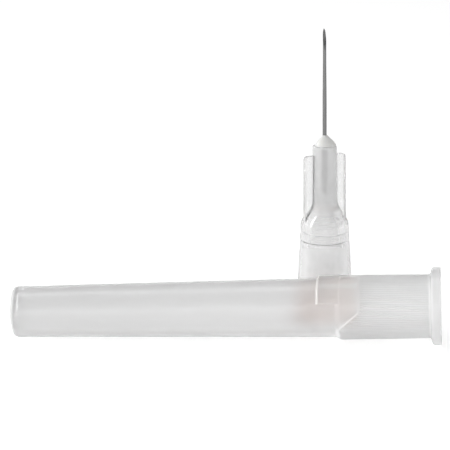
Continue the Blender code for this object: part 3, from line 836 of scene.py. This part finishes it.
end_poles = [MOUTH + TO_END * SHEATH_LENGTH, MOUTH + TO_END * (SHEATH_LENGTH - CLOSED_END_WALL)]
sheath_points, rib_angle, rib_share = sheath_rings()
sheath = grid_piece("frosted_sheath", sheath_points, poles=end_poles)

# %% [markdown]
# The sheath keeps a clearness and a tint too. The ribs are so fine that a groove between two of them lies
# in its neighbours' shade, which is painted into the tint. The thin rim of the mouth gets a painted highlight,
# and so do the collar's step, the land's edge and the step in the bore: they are white and less clear. The
# front has a faint warm cast beside the needle's foot. Painted highlights and painted shade run along the
# whole wall as faint bands, and the tint is darker towards the closed end as painted shade.

# %% The sheath's clearness and tint
TUBE_CLEARNESS = 0.80
GRIP_CLEARNESS = 0.85
MOUTH_HIGHLIGHT_CLEARNESS = 0.94
HIGHLIGHT_EDGE_CLEARNESS = 0.25
COLLAR_CLEARNESS = 0.66
TUBE_TINT = 0.96
CLOSED_END_PAINTED_SHADE = 0.91
GRIP_TINT = 1.0
FLANGE_TINT = 0.96
GROOVE_SHADE = 0.085
EDGE_WIDTH = 0.12 * MM
MOUTH_RIM_WIDTH = 0.30 * MM
TINT_BLEND = 0.5 * MM
# Painted highlights and painted shade: at these angles from the top the tint is lighter or darker.
LIGHT_BAND_ANGLES = np.radians([34.0, 60.0, 85.0, 106.0, 138.0])
LIGHT_BAND_WIDTHS = np.radians([4.0, 9.0, 10.0, 5.0, 14.0])
LIGHT_BAND_SHARES = np.array([0.028, -0.010, -0.010, -0.018, 0.034])
CAST_TINT = np.array([1.0, 0.96, 0.943])
CAST_FROM = 8.2 * MM
CAST_TO = 16.6 * MM
CAST_BLEND = 1.6 * MM
CAST_MIDDLE = np.radians(-50.0)
CAST_REACH = np.radians(75.0)

sheath_along = np.r_[outside[:, 1], inside[:, 1]][:, None]
in_grip = smooth((COLLAR_AT - sheath_along) / TINT_BLEND)
on_ribs = smooth((land_edge(rib_angle) - sheath_along) / TINT_BLEND)
in_flange = smooth((FLANGE_THICKNESS + TINT_BLEND - sheath_along) / TINT_BLEND)


def groove_depth():
    """How far each point lies below the tops of the ribs: 0 on the smooth parts, 1 at the bottom."""
    along = outside[:, 1:]
    before_land = smooth((land_edge(rib_angle) - along) / RIB_FADE)
    depth = np.zeros(sheath_points.shape[:2])
    depth[: len(outside)] = (along > RIB_FOOT) * before_land * (1 - rib_share)
    return depth


def painted_highlight_edges():
    """1 where highlights are painted: the half collar's step, the land's edge and the step in the bore."""
    along = outside[:, 1:]
    turn = wrapped(rib_angle)
    step = smooth(2 - np.abs(along - COLLAR_AT + COLLAR_SLOPE / 2) / EDGE_WIDTH)
    step = step * (turn > COLLAR_FROM) * (turn < COLLAR_TO)
    pad = smooth(2 - np.abs(along - land_edge(rib_angle) - LAND_EDGE / 2) / EDGE_WIDTH)
    edges = np.zeros(sheath_points.shape[:2])
    edges[: len(outside)] = np.maximum(step, pad)
    edges[len(outside) :] = smooth(2 - 2 * np.abs(inside[:, 1:] - GRIP_AT) / GRIP_SLOPE)
    return edges


def mouth_rim_highlight():
    """1 on the mouth's rim, where a highlight is painted, smoothstepping to 0 over the second half of its
    width.
    """
    return smooth(2 - 2 * sheath_along / MOUTH_RIM_WIDTH)


def painted_light_bands():
    """Painted highlights and shade round the sheath: one smooth band for each angle, mirrored at the back."""
    turn = np.abs(wrapped(rib_angle))[..., None]
    return (LIGHT_BAND_SHARES * smooth(2 - np.abs(turn - LIGHT_BAND_ANGLES) / LIGHT_BAND_WIDTHS)).sum(axis=-1)


def warm_cast():
    """1 in the middle of the cast and 0 outside it: one smoothstep at each end, and one round the front."""
    ends = smooth((sheath_along - CAST_FROM) / CAST_BLEND) * smooth((CAST_TO - sheath_along) / CAST_BLEND)
    turn = np.abs(wrapped(rib_angle - CAST_MIDDLE))
    return ends * smooth(2 - 2 * turn / CAST_REACH)


def sheath_tint():
    """Grey by distance from the mouth, painted shade and highlights, painted bands, times the warm cast."""
    # Painted shade: darker towards the closed end, where the left lamp falls most.
    tube = TUBE_TINT + (CLOSED_END_PAINTED_SHADE - TUBE_TINT) * (sheath_along - COLLAR_AT) / (SHEATH_LENGTH - COLLAR_AT)
    grey = tube + (GRIP_TINT - tube) * in_grip
    grey = grey + (FLANGE_TINT - grey) * in_flange
    grey = grey * (1 - GROOVE_SHADE * groove_depth()) * (1 + painted_light_bands())
    # Painted highlights: the sharp edges and the mouth's rim are tinted white.
    grey = grey + (1 - grey) * np.maximum(painted_highlight_edges(), mouth_rim_highlight())
    return np.minimum(grey[..., None] * (1 + (CAST_TINT - 1) * warm_cast()[..., None]), 1.0)


def sheath_clearness():
    """Clearest between the ribs and the collar's step, and much less clear on the edges with painted
    highlights.
    """
    value = TUBE_CLEARNESS + (COLLAR_CLEARNESS - TUBE_CLEARNESS) * in_grip
    value = value + (GRIP_CLEARNESS - COLLAR_CLEARNESS) * on_ribs
    value = value + (TUBE_CLEARNESS - value) * in_flange
    # The painted highlights on the mouth's rim and the sharp edges also change the clearness.
    value = value + (MOUTH_HIGHLIGHT_CLEARNESS - value) * mouth_rim_highlight()
    return value + (HIGHLIGHT_EDGE_CLEARNESS - value) * painted_highlight_edges()


store_pattern(sheath, "clearness", sheath_clearness())
store_tint(sheath, "tint", sheath_tint())
print("sheath rings and columns:", sheath_points.shape[:2])

# %% [markdown]
# ## Materials
#
# Every finish is one Principled shader. Numbers that are the same all over a surface sit on the shader's own
# sockets. Only what varies comes from nodes, and every pattern reads Object coordinates in metres, so a
# noise of scale 1000 has features about a millimetre wide. The noise lies mostly between 0.3 and 0.7, so it
# is spread from there over the range that a finish needs.

# %% Material helpers
NOISE_DETAIL = 3.0
NOISE_LOW = 0.3
NOISE_HIGH = 0.7


def new_finish(name, **values):
    """A Principled material with plain values on its sockets, given by name with _ for a space."""
    finish = bpy.data.materials.new(name)
    finish.use_nodes = True
    shader = finish.node_tree.nodes["Principled BSDF"]
    for key, value in values.items():
        shader.inputs[key.replace("_", " ")].default_value = value
    return finish


def stretched_noise(finish, scale, stretch):
    """Noise on Object coordinates, drawn out along an axis by a Mapping node. Returns its factor."""
    nodes, links = finish.node_tree.nodes, finish.node_tree.links
    place = nodes.new("ShaderNodeTexCoord")
    mapping = nodes.new("ShaderNodeMapping")
    mapping.inputs["Scale"].default_value = stretch
    noise = nodes.new("ShaderNodeTexNoise")
    noise.inputs["Scale"].default_value = scale
    noise.inputs["Detail"].default_value = NOISE_DETAIL
    links.new(place.outputs["Object"], mapping.inputs["Vector"])
    links.new(mapping.outputs["Vector"], noise.inputs["Vector"])
    return noise.outputs["Fac"]


def stored(finish, name, kind="Fac"):
    """A number, or with kind Color a colour, that the mesh keeps for each of its points."""
    node = finish.node_tree.nodes.new("ShaderNodeAttribute")
    node.attribute_name = name
    return node.outputs[kind]


def drive(finish, source, target):
    """Link a number, a colour or a normal to one of the shader's sockets."""
    finish.node_tree.links.new(source, finish.node_tree.nodes["Principled BSDF"].inputs[target])


def spread(finish, pattern, low, high):
    """A noise pattern spread over the range from low to high, and held inside it."""
    node = finish.node_tree.nodes.new("ShaderNodeMapRange")
    node.inputs["From Min"].default_value = NOISE_LOW
    node.inputs["From Max"].default_value = NOISE_HIGH
    node.inputs["To Min"].default_value = low
    node.inputs["To Max"].default_value = high
    finish.node_tree.links.new(pattern, node.inputs["Value"])
    return node.outputs["Result"]


def tinted(finish, pattern, darkest):
    """The stored tint, multiplied by a grey between the darkest and 1 that follows a noise pattern."""
    links = finish.node_tree.links
    product = finish.node_tree.nodes.new("ShaderNodeMix")
    product.data_type = "RGBA"
    product.blend_type = "MULTIPLY"
    product.inputs[0].default_value = 1.0
    links.new(stored(finish, "tint", "Color"), product.inputs[6])
    links.new(spread(finish, pattern, darkest, 1.0), product.inputs[7])
    return product.outputs[2]


def shades(finish, pattern, first, last):
    """Colours that change from first to last, each a position on the pattern and a colour."""
    node = finish.node_tree.nodes.new("ShaderNodeValToRGB")
    for stop, (position, colour) in zip(node.color_ramp.elements, (first, last)):
        stop.position = position
        stop.color = (*colour, 1.0)
    finish.node_tree.links.new(pattern, node.inputs["Fac"])
    return node.outputs["Color"]


def relief(finish, pattern, height, strength):
    """Normals of a bump with the given height in metres."""
    node = finish.node_tree.nodes.new("ShaderNodeBump")
    node.inputs["Strength"].default_value = strength
    node.inputs["Distance"].default_value = height
    finish.node_tree.links.new(pattern, node.inputs["Height"])
    return node.outputs["Normal"]


# %% [markdown]
# ### Steel
#
# Drawing pulls a tube through a die and leaves faint lines along it, so the noise is drawn out along Z. The
# ground face is a second finish: a wheel leaves finer lines on it that run up the slope, and its darker colour
# is a painted dark reflection of the dim room that it faces. The bore has that finish too, as painted shade,
# because little of the light that enters so narrow a tube comes out again.

# %% Steel
steel = new_finish("drawn_steel", Metallic=1.0)
drawn = stretched_noise(steel, 1.0, (26000.0, 26000.0, 700.0))
drive(steel, shades(steel, drawn, (0.35, (0.17, 0.17, 0.17)), (0.65, (0.23, 0.23, 0.23))), "Base Color")
drive(steel, spread(steel, drawn, 0.24, 0.36), "Roughness")
drive(steel, relief(steel, drawn, 0.002 * MM, 0.6), "Normal")

# Painted dark reflection: the ground face's colour is darker than the drawn steel's.
ground = new_finish("ground_steel", Metallic=1.0)
wheel = stretched_noise(ground, 1.0, (60000.0, 60000.0, 3000.0))
drive(ground, shades(ground, wheel, (0.35, (0.11, 0.11, 0.11)), (0.65, (0.17, 0.17, 0.17))), "Base Color")
drive(ground, spread(ground, wheel, 0.30, 0.45), "Roughness")
drive(ground, relief(ground, wheel, 0.001 * MM, 0.5), "Normal")

cannula.data.materials.append(steel)
cannula.data.materials.append(ground)
ring_of_face = np.arange(len(cannula.data.polygons)) // CANNULA_COLUMNS
is_ground = ring_of_face >= CANNULA_RINGS - 1
cannula.data.polygons.foreach_set("material_index", is_ground.astype(np.int32))
print("faces of the cannula with the ground finish:", int(is_ground.sum()), "of", len(is_ground))

# %% [markdown]
# ### Adhesive
#
# Cured adhesive is opaque white with a soft gloss. It gets a little light under its skin, which is what
# keeps its shaded side from looking like chalk.

# %% Adhesive
white = new_finish(
    "cured_adhesive",
    IOR=1.5,
    Subsurface_Weight=0.25,
    Subsurface_Radius=(1.0, 0.95, 0.85),
    Subsurface_Scale=0.25 * MM,
)
drops = stretched_noise(white, 1300.0, (1.0, 1.0, 1.0))
drive(white, shades(white, drops, (0.3, (0.84, 0.84, 0.82)), (0.7, (0.88, 0.88, 0.86))), "Base Color")
drive(white, spread(white, drops, 0.28, 0.42), "Roughness")
drive(white, relief(white, drops, 0.03 * MM, 0.35), "Normal")
adhesive.data.materials.append(white)
print("adhesive finish:", white.name, "with", len(white.node_tree.nodes), "nodes")

# %% [markdown]
# ### Clear hub and frosted sheath
#
# Both are polypropylene, which is never as clear as glass: light goes through it but scatters a little. The
# Principled shader mixes the two with Transmission Weight, and what isn't transmitted is a pale diffuse body.
# In both finishes that mix is the stored clearness, and the colour is the stored tint with a slight haze. The
# sheath is frosted all over, with a glossier skin on top.

# %% Plastics
clear = new_finish("clear_polypropylene", IOR=1.49)
haze = stretched_noise(clear, 800.0, (1.0, 1.0, 0.6))
drive(clear, tinted(clear, haze, 0.89), "Base Color")
drive(clear, stored(clear, "clearness"), "Transmission Weight")
drive(clear, spread(clear, haze, 0.06, 0.12), "Roughness")
hub.data.materials.append(clear)

frosted = new_finish("frosted_polypropylene", IOR=1.49, Coat_Weight=0.5, Coat_Roughness=0.10)
flow = stretched_noise(frosted, 1.0, (110.0, 700.0, 700.0))
drive(frosted, tinted(frosted, flow, 0.98), "Base Color")
drive(frosted, stored(frosted, "clearness"), "Transmission Weight")
drive(frosted, spread(frosted, flow, 0.29, 0.38), "Roughness")
sheath.data.materials.append(frosted)
print("plastics:", clear.name, "and", frosted.name)

# %% [markdown]
# ## Fixing the pieces to the frame
#
# Each piece rides on the frame's one body, and the node that it covers is hidden.

# %% Ride and replace
dressed_pieces = (
    (cannula, "cannula", "cannula_steel"),
    (adhesive, "adhesive", "adhesive_white"),
    (hub, "hub", "hub_clear"),
    (sheath, "sheath", "sheath_frosted"),
)
for piece, node, finish_slot in dressed_pieces:
    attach(piece, "root")
    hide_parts(node)
print("pieces on the frame:", len(dressed_pieces))

# %% [markdown]
# ## Floor and light
#
# Clear plastic shows its surroundings more than itself, so the room matters as much as the material. The
# background is white for the rays that the camera, gloss and transmission see, while the light that falls on
# the pieces stays at a plain level. The lamps are weak, so the pale floor glows a little to stay white, and
# the shadow that the pieces cast on it still shows.

# %% Floor
def level_square(name, half_width, height):
    """One square face, level with the ground."""
    mesh = bpy.data.meshes.new(name)
    corners = np.array([(-1, -1, 0), (1, -1, 0), (1, 1, 0), (-1, 1, 0)], float) * half_width
    corners[:, 2] = height
    mesh.from_pydata(corners, [], [(0, 1, 2, 3)])
    square = bpy.data.objects.new(name, mesh)
    bpy.context.scene.collection.objects.link(square)
    return square


def by_ray(tree, thrown, seen):
    """One strength for the light on the pieces, another for what camera, gloss and transmission see."""
    path = tree.nodes.new("ShaderNodeLightPath")
    sees = path.outputs["Is Camera Ray"]
    for name in ("Is Glossy Ray", "Is Transmission Ray"):
        larger = tree.nodes.new("ShaderNodeMath")
        larger.operation = "MAXIMUM"
        tree.links.new(sees, larger.inputs[0])
        tree.links.new(path.outputs[name], larger.inputs[1])
        sees = larger.outputs[0]
    strength = tree.nodes.new("ShaderNodeMapRange")
    strength.inputs["To Min"].default_value = thrown
    strength.inputs["To Max"].default_value = seen
    tree.links.new(sees, strength.inputs["Value"])
    return strength.outputs["Result"]


FLOOR_HALF_WIDTH = 3.0
FLOOR_GAP = 0.02 * MM
FLOOR_LIGHT = 0.54
FLOOR_GLOW = 0.55

floor = level_square("floor", FLOOR_HALF_WIDTH, -FLOOR_GAP)
pale = new_finish(
    "pale_floor",
    Base_Color=(0.90, 0.90, 0.90, 1.0),
    Roughness=1.0,
    Specular_IOR_Level=0.0,
    Emission_Color=(1.0, 1.0, 1.0, 1.0),
)
drive(pale, by_ray(pale.node_tree, FLOOR_LIGHT, FLOOR_GLOW), "Emission Strength")
floor.data.materials.append(pale)
print("floor:", 2 * FLOOR_HALF_WIDTH, "metres wide")

# %% World
ROOM_LIGHT = 0.28
ROOM_SEEN = 1.0

world = bpy.data.worlds.new("studio")
bpy.context.scene.world = world
world.use_nodes = True
backdrop = world.node_tree.nodes["Background"]
backdrop.inputs["Color"].default_value = (1.0, 1.0, 1.0, 1.0)
room = by_ray(world.node_tree, ROOM_LIGHT, ROOM_SEEN)
world.node_tree.links.new(room, backdrop.inputs["Strength"])
print("the room is seen at", ROOM_SEEN, "and lights the pieces at", ROOM_LIGHT)


# %% Lamps
def softbox(name, place, target, size, power):
    """A rectangular lamp at a place, facing a target, in metres and watts."""
    lamp = bpy.data.lights.new(name, "AREA")
    lamp.shape = "RECTANGLE"
    lamp.size, lamp.size_y = size
    lamp.energy = power
    holder = bpy.data.objects.new(name, lamp)
    bpy.context.scene.collection.objects.link(holder)
    holder.location = place
    holder.rotation_euler = (Vector(target) - Vector(place)).to_track_quat("-Z", "Y").to_euler()
    print(f"{name}: {size[0]} by {size[1]} m, {power} W")


softbox("left_key", (-0.40, 0.0, 0.20), (0, 0, 0.01), (0.55, 0.36), 1.30)
softbox("front_fill", (0.0, -0.48, 0.11), (0, 0, 0.01), (0.60, 0.20), 0.40)
softbox("overhead", (0.0, 0.07, 0.45), (0, 0, 0), (0.50, 0.05), 0.24)

# %% [markdown]
# ## Camera
#
# The camera was fitted to the photograph: it stands a quarter of a metre away, a little to the right and
# thirteen degrees above the floor, with a long lens and hardly any roll.

# %% Camera
CAMERA_TURN = np.radians(6.0)
CAMERA_RISE = np.radians(13.0)
CAMERA_DISTANCE = 0.250
CAMERA_ROLL = np.radians(-0.60)
CAMERA_TARGET = Vector((-0.071, -2.758, 12.828)) * MM
FOCAL_PIXELS = 2298.0
PICTURE_WIDTH = 450
SENSOR_WIDTH = 36.0

lens = bpy.data.cameras.new("camera")
lens.sensor_width = SENSOR_WIDTH
lens.lens = FOCAL_PIXELS / PICTURE_WIDTH * SENSOR_WIDTH
camera = bpy.data.objects.new("camera", lens)
bpy.context.scene.collection.objects.link(camera)
toward_camera = Vector(
    (
        np.sin(CAMERA_TURN) * np.cos(CAMERA_RISE),
        -np.cos(CAMERA_TURN) * np.cos(CAMERA_RISE),
        np.sin(CAMERA_RISE),
    )
)
camera.location = CAMERA_TARGET + toward_camera * CAMERA_DISTANCE
aim = (-toward_camera).to_track_quat("-Z", "Y").to_matrix().to_4x4()
camera.rotation_euler = (aim @ Matrix.Rotation(CAMERA_ROLL, 4, "Z")).to_euler()
bpy.context.scene.camera = camera
bpy.context.scene.view_settings.view_transform = "Standard"
print("camera in mm:", [round(v / MM, 1) for v in camera.location], "lens", round(lens.lens, 1))
